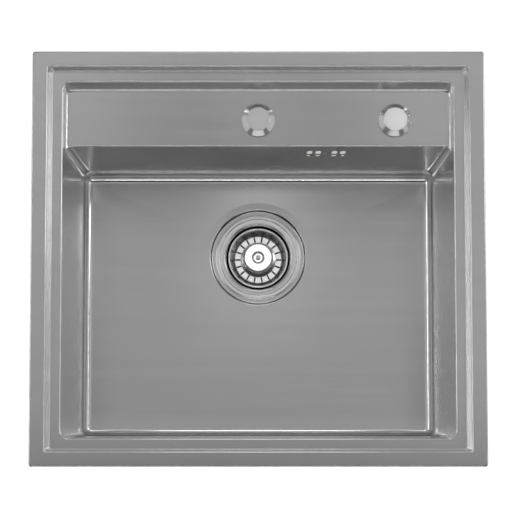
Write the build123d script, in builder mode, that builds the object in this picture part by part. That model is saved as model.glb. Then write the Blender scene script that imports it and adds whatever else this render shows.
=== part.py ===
"""Inset kitchen sink: one square bowl with a recessed tap shelf, two covered tap holes, a wall
overflow and a basket strainer waste.

Millimetres. +Z is up, +Y is the back, where the tap stands. The origin is in the plane of the
worktop's top, at the middle of the rim's outline.
"""
import math
import os

from build123d import *

# Steel sheet and its bends
sheet = 1.2
bend_outside = 2.0
bend_inside = bend_outside - sheet

# Rim that lies on the worktop
rim_length = 545.0
rim_depth = 500.0
rim_corner = 4.0
rim_flat = 18.75
lip_gap = 0.6
seal_height = 3.0
seal_width = 9.0
seal_inset = 0.8
gasket_inset = 0.3

# Ledge one step below the rim
riser_run_side = 4.2
riser_run_back = 2.1
riser_corner = 3.0
ledge_drop = 12.0
ledge_width_side = 13.05
ledge_width_back = 13.25
skirt_height = 3.0

# Bowl and tap shelf
bowl_corner = 11.0
bowl_depth = 200.0
bowl_fillet = 10.0
shelf_width = 76.4
shelf_drop = 13.0
shelf_slope_run = 7.0
shelf_fillet = 4.5
shelf_flange = 4.0
shelf_joint_inset = 3.0

# Tap holes and the covers in them
tap_hole_radius = 17.5
tap_hole_from_back = 44.4
side_hole_from_side = 69.5
cover_radius = 20.3
cover_face_radius = 14.3
cover_height = 6.0
cover_edge = 1.2
cover_wall = 1.0
cover_gasket_height = 1.0
cover_gasket_width = 3.2
cover_boss_radius = 4.0
plug_radius = 16.9
plug_wall = 2.2
plug_web = 2.0
plug_reach = 15.0
plug_leg_gap = 4.0
grip_ring_drop = 6.0
grip_ring_wire = 1.5
grip_ring_clearance = 0.1
cover_screw_radius = 2.0
cover_screw_head_radius = 4.0
cover_screw_head_height = 2.4
thread_clearance = 0.05

# Waste in the bowl's floor
drain_from_back = 111.5
recess_radius = 66.5
recess_flat_radius = 62.5
recess_drop = 3.4
drain_hole_radius = 45.6
flange_radius = 57.0
flange_step_radius = 52.2
flange_step = 1.1
flange_sheet = 1.0
flange_gasket_height = 0.9
cup_radius = 44.9
cup_depth = 34.0
cup_corner = 8.0
cup_hole_radius = 3.6
cup_hole_circle = 15.0
cup_hole_count = 8
lower_gasket_height = 3.0
waste_flange_radius = 56.0
waste_flange_height = 4.0
waste_wall = 2.8
waste_cup_gap = 1.4
waste_cup_height = 45.0
waste_cone_height = 18.0
outlet_radius = 23.9
outlet_wall = 3.2
outlet_length = 28.0
hub_radius = 8.0
hub_height = 16.0
hub_rib = 2.6
hub_rib_count = 3
centre_screw_radius = 3.9
centre_screw_head_radius = 7.0
centre_screw_head_height = 2.4
centre_screw_length = 20.0
insert_radius = 6.0
insert_height = 9.0

# Basket that lifts out of the waste
basket_rim_radius = 41.4
basket_lip = 2.6
basket_rim_drop = 7.0
basket_floor_radius = 29.0
basket_floor_drop = 26.0
basket_sheet = 0.8
basket_slot_count = 18
basket_slot_width = 2.3
basket_slot_inner = 24.6
basket_slot_outer = 32.0
basket_seal_radius = 23.0
basket_seal_taper = 1.5
basket_seal_lip = 2.0
basket_seal_root = 1.5
basket_seat_gap = 0.2
post_radius = 3.5
post_collar_radius = 6.0
post_collar_height = 1.6
post_tip_radius = 2.4
post_socket_radius = 2.7
post_tip_length = 7.0
knob_radius = 20.8
knob_face_radius = 15.2
knob_dimple_radius = 8.4
knob_dimple = 2.2
knob_height = 8.5
knob_top_drop = 2.0
knob_wall = 1.4
knob_screw_radius = 1.9
knob_screw_head_radius = 3.6
knob_screw_head_height = 1.4
knob_screw_length = 10.0

# Overflow in the bowl's back wall
overflow_from_side = 151.6
overflow_drop = 62.5
slot_offsets = (-20.7, -9.9, 10.3, 20.8)
slot_width = 6.6
slot_height = 27.0
housing_length = 60.0
housing_height = 40.0
housing_corner = 6.0
housing_wall = 2.0
housing_gasket_height = 2.0
housing_gasket_width = 4.0
housing_boss_radius = 4.2
overflow_screw_radius = 2.0
overflow_screw_head_radius = 2.9
overflow_screw_head_height = 1.2
overflow_screw_length = 14.0
pipe_radius = 8.5
pipe_wall = 1.6
pipe_bend = 32.0
pipe_socket_clearance = 0.3
pipe_insertion = 14.0
spigot_wall = 2.4
spigot_length = 22.0
spigot_stop = 2.0
pipe_washer_height = 3.0
pipe_nut_radius = 15.0
pipe_nut_length = 15.0
pipe_nut_wall = 2.0
pipe_nut_ribs = 12
pipe_nut_wall_gap = 1.0
pipe_port_drop = 38.0
port_reach = 76.0

# Clamps under the ledge that pull the rim down
clamp_width = 16.0
clamp_sheet = 1.5
clamp_bracket_height = 17.0
clamp_bracket_reach = 11.4
clamp_screw_radius = 2.5
clamp_screw_offset = 7.0
clamp_screw_length = 36.0
clamp_screw_rise = 4.0
clamp_screw_head_radius = 4.6
clamp_screw_head_height = 3.2
clamp_arm_width = 12.0
clamp_arm_sheet = 2.0
clamp_arm_reach = 25.0
clamp_arm_heel = 6.0
clamp_heel_round = 5.5
clamp_tip_round = 3.0
clamp_arm_web = 8.6
clamp_arm_clearance = 0.08
clamp_head_gap = 0.2
worktop_thickness = 30.0
side_clamp_y = (-150.0, 85.0)
front_clamp_x = (-130.0, 130.0)

# Sound-deadening pads glued outside the bowl
pad_thickness = 2.5
pad_top_drop = 75.0
pad_foot_gap = 14.0
pad_side_margin = 45.0
floor_pad_margin = 30.0
floor_pad_hole = 82.0
pad_corner = 8.0

# Places that follow from the sizes above
rim_z = seal_height + sheet
ledge_z = rim_z - ledge_drop
shelf_z = ledge_z - shelf_drop
floor_z = rim_z - bowl_depth
skirt_z = ledge_z - skirt_height
shelf_flange_z = shelf_z - shelf_flange
bowl_length = rim_length - 2 * (rim_flat + riser_run_side + ledge_width_side)
opening_depth = rim_depth - 2 * (rim_flat + riser_run_back + ledge_width_back)
opening_back = opening_depth / 2
bowl_back = opening_back - shelf_width
bowl_width = bowl_back + opening_back
bowl_y = bowl_back - bowl_width / 2
bowl_corner_y = bowl_back - bowl_corner
shelf_joint_y = bowl_corner_y + shelf_joint_inset
tap_hole_y = opening_back - tap_hole_from_back
side_hole_x = bowl_length / 2 - side_hole_from_side
drain_y = bowl_back - drain_from_back
overflow_x = bowl_length / 2 - overflow_from_side
recess_z = floor_z - recess_drop
flange_seat_z = recess_z + flange_gasket_height
cup_floor_z = floor_z - cup_depth
under_recess_z = recess_z - sheet
lower_gasket_z = under_recess_z - lower_gasket_height
overflow_z = rim_z - overflow_drop


def outline(length, depth, corner, centre_y=0.0):
    """A rounded rectangle in the sketch that is open, centred on X."""
    with Locations((0, centre_y)):
        RectangleRounded(length, depth, corner)


def level_face(builder, height, up=True):
    """The largest flat face at this height that looks up, or down."""
    faces = builder.faces().filter_by(Axis.Z)
    faces = faces.filter_by_position(Axis.Z, height - 0.01, height + 0.01)
    return faces.filter_by(lambda f: (f.normal_at().Z > 0) == up).sort_by(SortBy.AREA)[-1]


def round_loop(builder, loop, radius):
    """Round the edges of one closed loop of a face."""
    fillet(builder.edges().filter_by(lambda e: any(e.is_same(w) for w in loop.edges())), radius)


def sheet_section(points, thickness):
    """The closed outline of a sheet that lies on the left of a line of points."""
    normals = []
    for (x0, z0), (x1, z1) in zip(points, points[1:]):
        run = math.hypot(x1 - x0, z1 - z0)
        normals.append(((z0 - z1) / run, (x1 - x0) / run))
    normals = [normals[0]] + normals + [normals[-1]]
    far_side = []
    for (x, z), (ax, az), (bx, bz) in zip(points, normals, normals[1:]):
        mitre = thickness / (1 + ax * bx + az * bz)
        far_side.append((x + (ax + bx) * mitre, z + (az + bz) * mitre))
    return points + far_side[::-1]


def spin(points, centre, mode=Mode.ADD):
    """Add or cut a solid of revolution about the vertical line through centre."""
    plane = Plane(origin=(centre[0], centre[1], 0), x_dir=(1, 0, 0), z_dir=(0, -1, 0))
    with BuildSketch(plane) as section:
        with BuildLine():
            Polyline(*points, close=True)
        make_face()
    revolve(section.sketch, axis=Axis((centre[0], centre[1], 0), (0, 0, 1)), mode=mode)


def cylinder(radius, bottom, top, centre, mode=Mode.ADD):
    """Add or cut an upright cylinder between two heights."""
    with BuildSketch(Plane.XY.offset(bottom)) as disc:
        with Locations(centre):
            Circle(radius)
    extrude(disc.sketch, amount=top - bottom, mode=mode)


def keep(builder, name):
    """Label a finished piece and write its file."""
    builder.part.label = name
    export_step(builder.part, f"parts/{name}.step")


os.makedirs("parts", exist_ok=True)

# Rim, riser and ledge, pressed from one sheet
riser_top = (rim_length - 2 * rim_flat, rim_depth - 2 * rim_flat)
riser_foot = (riser_top[0] - 2 * riser_run_side, riser_top[1] - 2 * riser_run_back)

with BuildPart() as deck_frame:
    with BuildSketch(Plane.XY.offset(lip_gap)):
        outline(rim_length, rim_depth, rim_corner)
    extrude(amount=rim_z - lip_gap)
    with BuildSketch(Plane.XY.offset(lip_gap)):
        outline(rim_length - 2 * sheet, rim_depth - 2 * sheet, rim_corner - sheet)
    extrude(amount=rim_z - sheet - lip_gap, mode=Mode.SUBTRACT)
    with BuildSketch(Plane.XY.offset(rim_z - sheet)):
        outline(riser_top[0] + 2 * sheet, riser_top[1] + 2 * sheet, riser_corner + sheet)
    with BuildSketch(Plane.XY.offset(ledge_z - sheet)):
        outline(riser_foot[0] + 2 * sheet, riser_foot[1] + 2 * sheet, riser_corner + sheet)
    loft()
    with BuildSketch(Plane.XY.offset(rim_z)):
        outline(riser_top[0], riser_top[1], riser_corner)
    with BuildSketch(Plane.XY.offset(ledge_z)):
        outline(riser_foot[0], riser_foot[1], riser_corner)
    loft(mode=Mode.SUBTRACT)
    with BuildSketch(Plane.XY.offset(skirt_z)):
        outline(bowl_length + 2 * sheet, opening_depth + 2 * sheet, bowl_corner + sheet)
    extrude(amount=skirt_height)
    with BuildSketch(Plane.XY.offset(skirt_z)):
        outline(bowl_length, opening_depth, bowl_corner)
    extrude(amount=ledge_drop + skirt_height, mode=Mode.SUBTRACT)
    round_loop(deck_frame, level_face(deck_frame, rim_z).outer_wire(), bend_outside)
    round_loop(deck_frame, level_face(deck_frame, rim_z).inner_wires()[0], bend_outside)
    round_loop(deck_frame, level_face(deck_frame, ledge_z).outer_wire(), bend_inside)
    round_loop(deck_frame, level_face(deck_frame, ledge_z).inner_wires()[0], bend_outside)
    round_loop(deck_frame, level_face(deck_frame, rim_z - sheet, False).inner_wires()[0], bend_inside)
    round_loop(deck_frame, level_face(deck_frame, ledge_z - sheet, False).outer_wire(), bend_outside)
    round_loop(deck_frame, level_face(deck_frame, ledge_z - sheet, False).inner_wires()[0], bend_inside)
keep(deck_frame, "deck_frame")

# Foam seal between the rim and the worktop
seal_length = rim_length - 2 * (sheet + seal_inset)
seal_depth = rim_depth - 2 * (sheet + seal_inset)
with BuildPart() as rim_seal:
    with BuildSketch(Plane.XY):
        outline(seal_length, seal_depth, rim_corner)
        with Locations((0, 0)):
            Rectangle(seal_length - 2 * seal_width, seal_depth - 2 * seal_width, mode=Mode.SUBTRACT)
    extrude(amount=seal_height)
keep(rim_seal, "rim_seal")

# Tap shelf: a shallow tray, open to the front, that turns down into the bowl's back wall
shelf_front_y = bowl_corner_y - bowl_corner


def tray_section(height, grow, slope_run):
    """The tray's outline at one height, grown by a sheet's thickness."""
    depth = opening_back - slope_run - shelf_front_y + grow
    with BuildSketch(Plane.XY.offset(height)) as section:
        outline(bowl_length + 2 * grow, depth, bowl_corner + grow, shelf_front_y + depth / 2)
    return section.sketch


with BuildPart() as shelf_hollow:
    loft([tray_section(skirt_z, 0, 0), tray_section(shelf_z, 0, shelf_slope_run)])
    round_loop(shelf_hollow, level_face(shelf_hollow, shelf_z, False).outer_wire(), shelf_fillet)

with BuildPart() as bowl_space:
    with BuildSketch(Plane.XY.offset(floor_z)):
        outline(bowl_length, bowl_width, bowl_corner, bowl_y)
    extrude(amount=bowl_depth)

with BuildPart() as tap_shelf:
    loft([tray_section(skirt_z, sheet, 0), tray_section(shelf_z - sheet, sheet, shelf_slope_run)])
    round_loop(tap_shelf, level_face(tap_shelf, shelf_z - sheet, False).outer_wire(), shelf_fillet + sheet)
    add(shelf_hollow.part, mode=Mode.SUBTRACT)
    split(bisect_by=Plane.XZ.offset(-shelf_joint_y), keep=Keep.BOTTOM)
    with BuildSketch(Plane.XY.offset(shelf_flange_z)):
        outline(bowl_length + 2 * sheet, bowl_width + 2 * sheet, bowl_corner + sheet, bowl_y)
        with Locations((0, shelf_joint_y - bowl_width / 2)):
            Rectangle(rim_length, bowl_width, mode=Mode.SUBTRACT)
    extrude(amount=shelf_flange - sheet / 2)
    add(bowl_space.part, mode=Mode.SUBTRACT)
    for hole_x in (0.0, side_hole_x):
        cylinder(tap_hole_radius, shelf_z - 2 * sheet, shelf_z + sheet, (hole_x, tap_hole_y), Mode.SUBTRACT)
    front_edges = tap_shelf.edges().filter_by(Axis.X).filter_by_position(Axis.Y, bowl_back - 0.01, bowl_back + 0.01)
    fillet(front_edges.sort_by(Axis.Z)[-1], bend_outside)
keep(tap_shelf, "tap_shelf")

# Bowl, with a pressed recess for the waste and the overflow's slots
with BuildPart() as bowl_hollow:
    with BuildSketch(Plane.XY.offset(floor_z)):
        outline(bowl_length, bowl_width, bowl_corner, bowl_y)
    extrude(amount=skirt_z - floor_z)
    round_loop(bowl_hollow, level_face(bowl_hollow, floor_z, False).outer_wire(), bowl_fillet)

with BuildPart() as bowl:
    with BuildSketch(Plane.XY.offset(floor_z - sheet)):
        outline(bowl_length + 2 * sheet, bowl_width + 2 * sheet, bowl_corner + sheet, bowl_y)
    extrude(amount=skirt_z - floor_z + sheet)
    round_loop(bowl, level_face(bowl, floor_z - sheet, False).outer_wire(), bowl_fillet + sheet)
    spin([(0, floor_z), (recess_radius + sheet, floor_z), (recess_radius + sheet, floor_z - sheet),
          (recess_flat_radius + sheet, under_recess_z), (0, under_recess_z)], (0, drain_y))
    add(bowl_hollow.part, mode=Mode.SUBTRACT)
    spin([(0, floor_z + sheet), (recess_radius, floor_z + sheet), (recess_radius, floor_z),
          (recess_flat_radius, recess_z), (0, recess_z)], (0, drain_y), Mode.SUBTRACT)
    cylinder(drain_hole_radius, under_recess_z - sheet, floor_z, (0, drain_y), Mode.SUBTRACT)
    with BuildSketch(Plane.XY.offset(shelf_flange_z)):
        with Locations((0, shelf_joint_y + bowl_width / 2)):
            Rectangle(rim_length, bowl_width)
    extrude(amount=rim_z - shelf_flange_z, mode=Mode.SUBTRACT)
    with BuildSketch(Plane.XZ.offset(-bowl_back - 2 * sheet)):
        with Locations(*[(overflow_x + offset_x, overflow_z) for offset_x in slot_offsets]):
            SlotOverall(slot_height, slot_width, rotation=90)
        with Locations((overflow_x, overflow_z)):
            Circle(overflow_screw_radius + thread_clearance)
    extrude(amount=3 * sheet, mode=Mode.SUBTRACT)
keep(bowl, "bowl")

# Strainer cup: a spun steel flange and cup, and what clamps it to the floor
drain = (0.0, drain_y)
flange_top_z = flange_seat_z + flange_sheet
cup_inner = cup_radius - flange_sheet

with BuildPart() as strainer_cup:
    cup_line = [
        (flange_radius, flange_seat_z),
        (flange_radius - flange_sheet, flange_seat_z + flange_step),
        (flange_step_radius + flange_step, flange_seat_z + flange_step),
        (flange_step_radius, flange_seat_z),
        (cup_radius + flange_sheet, flange_seat_z),
        (cup_radius, flange_seat_z - flange_sheet),
        (cup_radius, cup_floor_z + cup_corner),
        (cup_radius - cup_corner / 3, cup_floor_z + cup_corner / 3),
        (cup_radius - cup_corner, cup_floor_z - flange_sheet),
        (centre_screw_radius + thread_clearance, cup_floor_z - flange_sheet),
    ]
    spin(sheet_section(cup_line, -flange_sheet), drain)
    with BuildSketch(Plane.XY.offset(cup_floor_z - 2 * flange_sheet)):
        with Locations(drain):
            with PolarLocations(cup_hole_circle, cup_hole_count):
                Circle(cup_hole_radius)
    extrude(amount=3 * flange_sheet, mode=Mode.SUBTRACT)
keep(strainer_cup, "strainer_cup")


def ring(name, inner, outer, bottom, top, centre):
    """A flat ring as a finished piece."""
    with BuildPart() as piece:
        cylinder(outer, bottom, top, centre)
        cylinder(inner, bottom, top, centre, Mode.SUBTRACT)
    keep(piece, name)


ring("flange_gasket", cup_radius + flange_sheet + gasket_inset, flange_step_radius, recess_z, flange_seat_z, drain)
ring("lower_gasket", drain_hole_radius, waste_flange_radius, lower_gasket_z, under_recess_z, drain)

# Moulded waste body with a threaded outlet and a port for the overflow
waste_top_z = lower_gasket_z
waste_inner = cup_radius + waste_cup_gap
waste_outer = waste_inner + waste_wall
cone_top_z = waste_top_z - waste_cup_height
cone_foot_z = cone_top_z - waste_cone_height
outlet_z = cone_foot_z - outlet_length
outlet_inner = outlet_radius - outlet_wall
hub_top_z = cup_floor_z - flange_sheet
port_z = under_recess_z - pipe_port_drop
pipe_y = bowl_back + sheet + pipe_nut_wall_gap + pipe_nut_radius + pipe_nut_wall / 2
pipe_span = math.hypot(overflow_x, pipe_y - drain_y)
pipe_direction = Vector(overflow_x, pipe_y - drain_y, 0) / pipe_span
port_plane = Plane(origin=(0, drain_y, port_z), x_dir=(0, 0, 1), z_dir=pipe_direction)
spigot_inner = pipe_radius + pipe_socket_clearance
spigot_outer = spigot_inner + spigot_wall
port_stop = port_reach - spigot_length

with BuildPart() as waste_body:
    spin([
        (waste_inner, waste_top_z),
        (waste_flange_radius, waste_top_z),
        (waste_flange_radius, waste_top_z - waste_flange_height),
        (waste_outer, waste_top_z - waste_flange_height),
        (waste_outer, cone_top_z),
        (outlet_radius, cone_foot_z),
        (outlet_radius, outlet_z),
        (outlet_inner, outlet_z),
        (outlet_inner, cone_foot_z),
        (waste_inner, cone_top_z),
    ], drain)
    with BuildSketch(port_plane.offset(waste_inner + waste_wall / 2)):
        Circle(spigot_outer)
    extrude(amount=port_reach - waste_inner - waste_wall / 2)
    with BuildSketch(port_plane.offset(waste_inner - waste_wall)):
        Circle(pipe_radius - pipe_wall)
    extrude(amount=port_reach, mode=Mode.SUBTRACT)
    with BuildSketch(port_plane.offset(port_stop)):
        Circle(spigot_inner)
    extrude(amount=spigot_length, mode=Mode.SUBTRACT)
    cylinder(hub_radius, hub_top_z - hub_height, hub_top_z, drain)
    with BuildSketch(Plane.XY.offset(hub_top_z - hub_height)):
        with Locations(drain):
            with PolarLocations((waste_inner + hub_radius) / 2, hub_rib_count, start_angle=180):
                Rectangle(waste_inner - hub_radius + waste_wall, hub_rib)
    extrude(amount=hub_height / 2)
    cylinder(insert_radius, hub_top_z - hub_height, hub_top_z - hub_height + insert_height, drain, Mode.SUBTRACT)
    cylinder(centre_screw_radius + thread_clearance, hub_top_z - hub_height, hub_top_z, drain, Mode.SUBTRACT)
keep(waste_body, "waste_body")

insert_top_z = hub_top_z - hub_height + insert_height
with BuildPart() as waste_insert:
    with BuildSketch(Plane.XY.offset(hub_top_z - hub_height)):
        with Locations(drain):
            RegularPolygon(insert_radius, 6)
            Circle(centre_screw_radius + thread_clearance, mode=Mode.SUBTRACT)
    extrude(amount=insert_height)
keep(waste_insert, "waste_insert")

with BuildPart() as centre_screw:
    cylinder(centre_screw_head_radius, cup_floor_z, cup_floor_z + centre_screw_head_height, drain)
    fillet(centre_screw.edges().sort_by(Axis.Z)[-1], centre_screw_head_height / 3)
    cylinder(centre_screw_radius, cup_floor_z - centre_screw_length, cup_floor_z, drain)
    socket_foot = cup_floor_z + centre_screw_head_height - post_tip_length - basket_seat_gap
    cylinder(post_socket_radius, socket_foot, cup_floor_z + centre_screw_head_height, drain, Mode.SUBTRACT)
keep(centre_screw, "centre_screw")

# Basket that lifts straight out, with its seal, post and knob
basket_rim_z = floor_z - basket_rim_drop
basket_floor_z = floor_z - basket_floor_drop
basket_under_z = basket_floor_z - basket_sheet
seal_foot_z = cup_floor_z + basket_seat_gap
post_foot_z = basket_under_z - 2 * basket_sheet
knob_top_z = floor_z - knob_top_drop
knob_foot_z = knob_top_z - knob_height

with BuildPart() as basket:
    basket_line = [
        (basket_rim_radius, basket_rim_z - basket_lip),
        (basket_rim_radius, basket_rim_z - basket_sheet),
        (basket_rim_radius - basket_sheet, basket_rim_z),
        (basket_rim_radius - basket_lip, basket_rim_z),
        (basket_rim_radius - basket_lip - 2 * basket_sheet, basket_rim_z - 2 * basket_sheet),
        (basket_slot_outer + 2 * basket_sheet, basket_floor_z + (basket_rim_z - basket_floor_z) / 3),
        (basket_floor_radius, basket_floor_z),
        (post_radius + thread_clearance, basket_floor_z),
    ]
    spin(sheet_section(basket_line, basket_sheet), drain)
    with BuildSketch(Plane.XY.offset(basket_under_z - basket_sheet)):
        with Locations(drain):
            with PolarLocations((basket_slot_inner + basket_slot_outer) / 2, basket_slot_count):
                SlotOverall(basket_slot_outer - basket_slot_inner, basket_slot_width)
    extrude(amount=basket_rim_z - basket_under_z, mode=Mode.SUBTRACT)
keep(basket, "basket")

with BuildPart() as basket_seal:
    spin([
        (post_radius + thread_clearance, basket_under_z),
        (basket_seal_radius, basket_under_z),
        (basket_seal_radius, basket_under_z - basket_sheet),
        (basket_seal_radius - basket_seal_taper, seal_foot_z),
        (basket_seal_radius - basket_seal_taper - basket_seal_lip, seal_foot_z),
        (basket_seal_radius - basket_seal_taper - basket_seal_lip - basket_seal_root, post_foot_z),
        (post_radius + thread_clearance, post_foot_z),
    ], drain)
keep(basket_seal, "basket_seal")

with BuildPart() as basket_post:
    spin([
        (0, cup_floor_z + centre_screw_head_height - post_tip_length),
        (post_tip_radius, cup_floor_z + centre_screw_head_height - post_tip_length),
        (post_tip_radius, post_foot_z - post_collar_height),
        (post_collar_radius, post_foot_z - post_collar_height),
        (post_collar_radius, post_foot_z),
        (post_radius, post_foot_z),
        (post_radius, knob_foot_z + knob_wall),
        (0, knob_foot_z + knob_wall),
    ], drain)
    knob_screw_foot_z = knob_top_z - knob_dimple - knob_wall - knob_screw_length
    cylinder(knob_screw_radius + thread_clearance, knob_screw_foot_z, knob_foot_z + knob_wall, drain, Mode.SUBTRACT)
keep(basket_post, "basket_post")

# Knob: a turned dome, hollow below, with a dished face
dimple_z = knob_top_z - knob_dimple
with BuildPart() as basket_knob:
    spin([
        (knob_screw_radius + thread_clearance, knob_foot_z + knob_wall),
        (post_collar_radius, knob_foot_z + knob_wall),
        (post_collar_radius, dimple_z - 2 * knob_wall),
        (knob_face_radius, knob_top_z - 2 * knob_wall),
        (knob_radius - knob_wall, knob_foot_z),
        (knob_radius, knob_foot_z),
        (knob_radius, knob_foot_z + knob_wall),
        (knob_face_radius + knob_wall, knob_top_z - knob_wall / 2),
        (knob_face_radius, knob_top_z),
        (knob_dimple_radius, knob_top_z),
        (knob_dimple_radius / 2, dimple_z),
        (knob_screw_radius + thread_clearance, dimple_z),
    ], drain)
keep(basket_knob, "basket_knob")

with BuildPart() as knob_screw:
    cylinder(knob_screw_head_radius, dimple_z, dimple_z + knob_screw_head_height, drain)
    fillet(knob_screw.edges().sort_by(Axis.Z)[-1], knob_screw_head_height * 0.6)
    cylinder(knob_screw_radius, dimple_z - knob_screw_length, dimple_z, drain)
keep(knob_screw, "knob_screw")

# Covers pushed into the two tap holes
gasket_top_z = shelf_z + cover_gasket_height
cover_top_z = gasket_top_z + cover_height
cover_under_z = cover_top_z - cover_wall
plug_top_z = cover_under_z - cover_boss_radius
plug_foot_z = shelf_z - sheet - plug_reach
grip_z = shelf_z - grip_ring_drop
grip_radius = tap_hole_radius - grip_ring_clearance


def cover_set(prefix, centre):
    """A cover with its gasket, plug, grip ring and screw, over one tap hole."""
    with BuildPart() as cover:
        spin([
            (0, cover_top_z),
            (cover_face_radius, cover_top_z),
            (cover_radius, gasket_top_z + cover_edge),
            (cover_radius, gasket_top_z),
            (cover_radius - cover_wall, gasket_top_z),
            (cover_face_radius - cover_wall / 2, cover_under_z),
            (0, cover_under_z),
        ], centre)
        cylinder(cover_boss_radius, plug_top_z, cover_under_z, centre)
        cylinder(cover_screw_radius + thread_clearance, plug_top_z, cover_under_z, centre, Mode.SUBTRACT)
    keep(cover, f"{prefix}_cover")
    ring(f"{prefix}_gasket", cover_radius - cover_gasket_width, cover_radius - cover_wall / 2, shelf_z,
         gasket_top_z, centre)
    with BuildPart() as plug:
        spin([
            (cover_screw_radius + thread_clearance, plug_top_z),
            (plug_radius, plug_top_z),
            (plug_radius, grip_z + grip_ring_wire),
            (grip_radius - 2 * grip_ring_wire, grip_z + grip_ring_wire),
            (grip_radius - 2 * grip_ring_wire, grip_z - grip_ring_wire),
            (plug_radius, grip_z - grip_ring_wire),
            (plug_radius, plug_foot_z + plug_wall),
            (plug_radius - plug_wall, plug_foot_z),
            (grip_radius - 2 * grip_ring_wire - plug_wall, plug_foot_z),
            (grip_radius - 2 * grip_ring_wire - plug_wall, plug_top_z - plug_web),
            (cover_screw_radius + thread_clearance, plug_top_z - plug_web),
        ], centre)
        with BuildSketch(Plane.XY.offset(plug_foot_z)) as leg_gaps:
            with Locations(centre):
                Rectangle(3 * plug_radius, plug_leg_gap)
                Rectangle(plug_leg_gap, 3 * plug_radius)
        extrude(leg_gaps.sketch, amount=grip_z - 2 * grip_ring_wire - plug_foot_z, mode=Mode.SUBTRACT)
    keep(plug, f"{prefix}_plug")
    with BuildPart() as grip_ring:
        plane = Plane(origin=(centre[0], centre[1], 0), x_dir=(1, 0, 0), z_dir=(0, -1, 0))
        with BuildSketch(plane) as wire:
            with Locations((grip_radius - grip_ring_wire, grip_z)):
                Circle(grip_ring_wire)
        revolve(wire.sketch, axis=Axis((centre[0], centre[1], 0), (0, 0, 1)))
    keep(grip_ring, f"{prefix}_grip_ring")
    with BuildPart() as screw:
        head_z = plug_top_z - plug_web
        cylinder(cover_screw_head_radius, head_z - cover_screw_head_height, head_z, centre)
        cylinder(cover_screw_radius, head_z, cover_under_z - thread_clearance, centre)
    keep(screw, f"{prefix}_screw")


cover_set("tap_hole", (0.0, tap_hole_y))
cover_set("side_hole", (side_hole_x, tap_hole_y))

# Overflow housing behind the bowl's back wall
wall_back_y = bowl_back + sheet
housing_front_y = wall_back_y + housing_gasket_height
housing_depth = pipe_y + spigot_outer - housing_front_y
housing_plane = Plane(origin=(overflow_x, 0, overflow_z), x_dir=(-1, 0, 0), z_dir=(0, 1, 0))
housing_foot_z = overflow_z - housing_height / 2
spigot_foot_z = housing_foot_z - spigot_length

with BuildPart() as overflow_gasket:
    with BuildSketch(housing_plane.offset(wall_back_y)):
        RectangleRounded(housing_length, housing_height, housing_corner)
        RectangleRounded(
            housing_length - 2 * housing_gasket_width,
            housing_height - 2 * housing_gasket_width,
            housing_corner - housing_gasket_width / 2,
            mode=Mode.SUBTRACT,
        )
    extrude(amount=housing_gasket_height)
keep(overflow_gasket, "overflow_gasket")

with BuildPart() as overflow_housing:
    with BuildSketch(housing_plane.offset(housing_front_y)):
        RectangleRounded(housing_length, housing_height, housing_corner)
    extrude(amount=housing_depth)
    back_edges = overflow_housing.faces().sort_by(Axis.Y)[-1].outer_wire().edges()
    fillet(back_edges, housing_corner / 2)
    with BuildSketch(Plane.XY.offset(spigot_foot_z)):
        with Locations((overflow_x, pipe_y)):
            Circle(spigot_outer)
    extrude(amount=spigot_length + housing_wall)
    with BuildSketch(housing_plane.offset(housing_front_y)):
        RectangleRounded(
            housing_length - 2 * housing_wall, housing_height - 2 * housing_wall, housing_corner - housing_wall
        )
    extrude(amount=housing_depth - housing_wall, mode=Mode.SUBTRACT)
    with BuildSketch(housing_plane.offset(housing_front_y)):
        Circle(housing_boss_radius)
    extrude(amount=housing_depth - housing_wall)
    with BuildSketch(housing_plane.offset(housing_front_y)):
        Circle(overflow_screw_radius + thread_clearance)
    extrude(amount=overflow_screw_length, mode=Mode.SUBTRACT)
    cylinder(spigot_inner, spigot_foot_z, housing_foot_z - spigot_stop, (overflow_x, pipe_y), Mode.SUBTRACT)
    cylinder(pipe_radius - pipe_wall, spigot_foot_z, housing_foot_z + 2 * housing_wall, (overflow_x, pipe_y),
             Mode.SUBTRACT)
keep(overflow_housing, "overflow_housing")

with BuildPart() as overflow_screw:
    with BuildSketch(Plane.XZ.offset(-bowl_back)):
        with Locations((overflow_x, overflow_z)):
            Circle(overflow_screw_head_radius)
    extrude(amount=overflow_screw_head_height)
    fillet(overflow_screw.edges().sort_by(Axis.Y)[0], overflow_screw_head_height / 2)
    with BuildSketch(Plane.XZ.offset(-bowl_back)):
        with Locations((overflow_x, overflow_z)):
            Circle(overflow_screw_radius)
    extrude(amount=-overflow_screw_length)
keep(overflow_screw, "overflow_screw")

# Rigid overflow pipe: down behind the wall, then under the floor to the waste's port
pipe_top_z = spigot_foot_z + pipe_insertion
pipe_end = drain_y * Vector(0, 1, 0) + pipe_direction * (port_reach - pipe_insertion)
pipe_route = [
    (overflow_x, pipe_y, pipe_top_z),
    (overflow_x, pipe_y, port_z),
    (pipe_end.X, pipe_end.Y, port_z),
]
with BuildPart() as overflow_pipe:
    with BuildLine() as pipe_line:
        FilletPolyline(*pipe_route, radius=pipe_bend)
    with BuildSketch(Plane(origin=pipe_route[0], z_dir=(0, 0, -1))):
        Circle(pipe_radius)
        Circle(pipe_radius - pipe_wall, mode=Mode.SUBTRACT)
    sweep(path=pipe_line.wires()[0])
keep(overflow_pipe, "overflow_pipe")


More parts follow.
